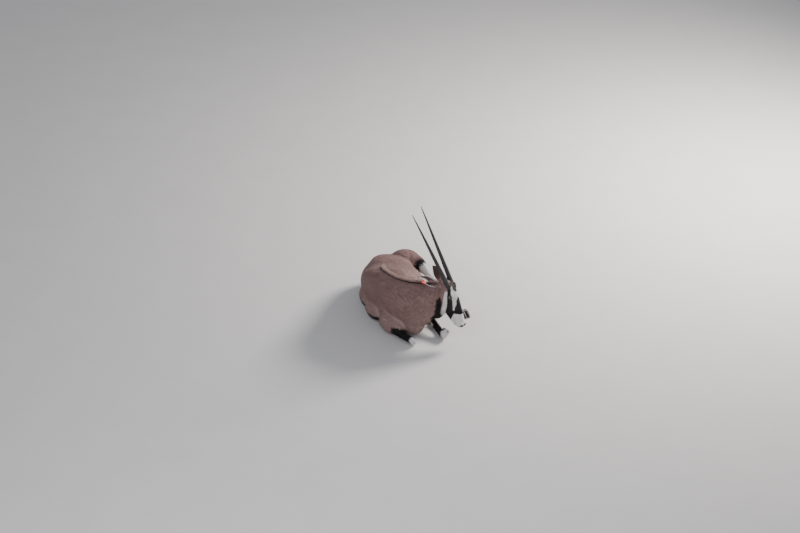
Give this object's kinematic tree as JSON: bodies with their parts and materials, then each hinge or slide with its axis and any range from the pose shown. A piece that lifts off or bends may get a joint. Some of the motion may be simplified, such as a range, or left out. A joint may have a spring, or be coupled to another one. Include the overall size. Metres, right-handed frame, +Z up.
{
  "type": "gemsbok",
  "caption": "Life-size gemsbok lying on its breast with folded forelegs, head raised and turned to its left, long straight ringed horns, a short mane and a plain ear tag.",
  "frame": {"origin": "centre of the box on the floor, under the belly", "axes": "+Z up from the floor, +Y towards the rump, -Y where the breast faces, +X towards the animal's left, where the head is turned"},
  "size_m": [0.9314, 1.5126, 1.1661],
  "materials": {
    "coat": "short matt fur",
    "long_hair": "long coarse hair",
    "horn": "ringed horn, satin",
    "hoof": "dull horn",
    "eye": "wet gloss",
    "tag": "plain moulded"
  },
  "bodies": {
    "root": {"hindquarters": "coat", "barrel": "coat", "forequarters": "coat", "neck": "coat", "head": "coat", "ear_left": "coat", "ear_right": "coat", "ear_tag": "tag", "eye_left": "eye", "eye_right": "eye", "horn_left": "horn", "horn_right": "horn", "foreleg_left": "coat", "foreleg_right": "coat", "hindleg_left": "coat", "hindleg_right": "coat", "forehoof_left_inner": "hoof", "forehoof_left_outer": "hoof", "forehoof_right_inner": "hoof", "forehoof_right_outer": "hoof", "hindhoof_left_inner": "hoof", "hindhoof_left_outer": "hoof", "hindhoof_right_inner": "hoof", "hindhoof_right_outer": "hoof", "tail": "coat", "tail_tuft": "long_hair"}
  },
  "joints": []
}
